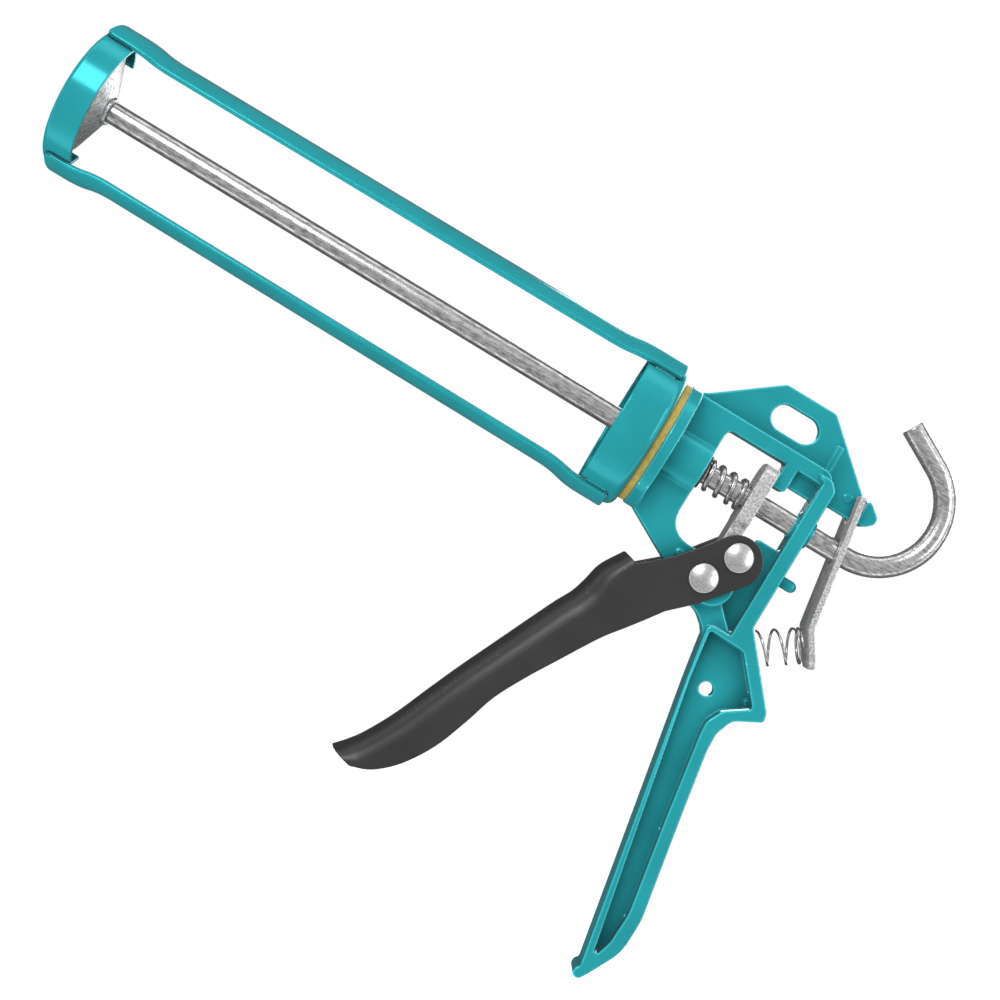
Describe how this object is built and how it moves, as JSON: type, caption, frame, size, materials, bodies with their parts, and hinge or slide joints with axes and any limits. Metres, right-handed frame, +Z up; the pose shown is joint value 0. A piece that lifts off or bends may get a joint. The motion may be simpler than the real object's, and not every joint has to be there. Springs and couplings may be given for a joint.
{
  "type": "caulking gun",
  "caption": "Cradle caulking gun: a turning open cradle on a cast body with a handle, a hooked push rod, a channel trigger and a sprung release lever.",
  "frame": {"origin": "on the push rod's axis, at the back face of the cradle's rear cup", "axes": "+X along the rod to the hook, -X to the nozzle, +Z up to the hanging slot, the handle hangs to -Z, and the cradle's closed side faces -Y"},
  "size_m": [0.3433, 0.0554, 0.2313],
  "materials": {
    "teal_paint": "semi-gloss paint over a casting or sheet",
    "washer_ochre": "dull",
    "zinc_plate": "bright zinc plate",
    "spring_steel": "plated spring wire",
    "rod_steel": "drawn and zinc plated",
    "rivet_steel": "bright domed heads",
    "dark_steel": "dark oxide",
    "black_paint": "satin"
  },
  "bodies": {
    "body": {"body_casting": "teal_paint", "bearing_washer": "washer_ochre", "retaining_washer": "zinc_plate", "retaining_ring": "spring_steel", "spring_seat_washer": "dark_steel", "main_spring": "spring_steel", "release_spring": "spring_steel"},
    "cradle": {"rear_cup": "teal_paint", "upper_rail": "teal_paint", "lower_rail": "teal_paint", "front_cap": "teal_paint", "rail_welds": "teal_paint"},
    "drive_plate": {"drive_plate": "zinc_plate"},
    "plunger": {"plunger_disc": "zinc_plate"},
    "push_rod": {"push_rod": "rod_steel", "rod_shoulder_washer": "zinc_plate", "plunger_nut_washer": "zinc_plate", "plunger_nut": "zinc_plate"},
    "trigger": {"trigger_lever": "black_paint", "pivot_rivet": "rivet_steel", "drive_pin": "rivet_steel"},
    "release_lever": {"release_lever": "zinc_plate"}
  },
  "joints": [
    {"name": "cradle_turn", "type": "hinge", "parent": "body", "child": "cradle", "pos_m": [0, 0, 0], "axis": [1, 0, 0], "continuous": true},
    {"name": "trigger_pull", "type": "hinge", "parent": "body", "child": "trigger", "pos_m": [0.0403, 0, -0.0325], "axis": [0, -1, 0], "range_deg": [0, 36], "stiffness_Nm_per_rad": 0.4, "springref_deg": -28.65},
    {"name": "plate_push", "type": "slide", "parent": "body", "child": "drive_plate", "axis": [-1, 0, 0], "range_m": [0, 0.0086], "deforming": ["main_spring"]},
    {"name": "rod_slide", "type": "slide", "parent": "body", "child": "plunger", "axis": [1, 0, 0], "range_m": [0, 0.215]},
    {"name": "rod_turn", "type": "hinge", "parent": "plunger", "child": "push_rod", "pos_m": [-0.2241, 0, 0], "axis": [1, 0, 0], "range_deg": [-150, 150]},
    {"name": "release_press", "type": "hinge", "parent": "body", "child": "release_lever", "pos_m": [0.0763, 0, 0.012], "axis": [0, 1, 0], "range_deg": [0, 9.3], "stiffness_Nm_per_rad": 0.45, "springref_deg": -11.46, "deforming": ["release_spring"]}
  ],
  "couplings": [
    {"joint": "plate_push", "follows": "trigger_pull", "m_per_rad": 0.01368}
  ]
}
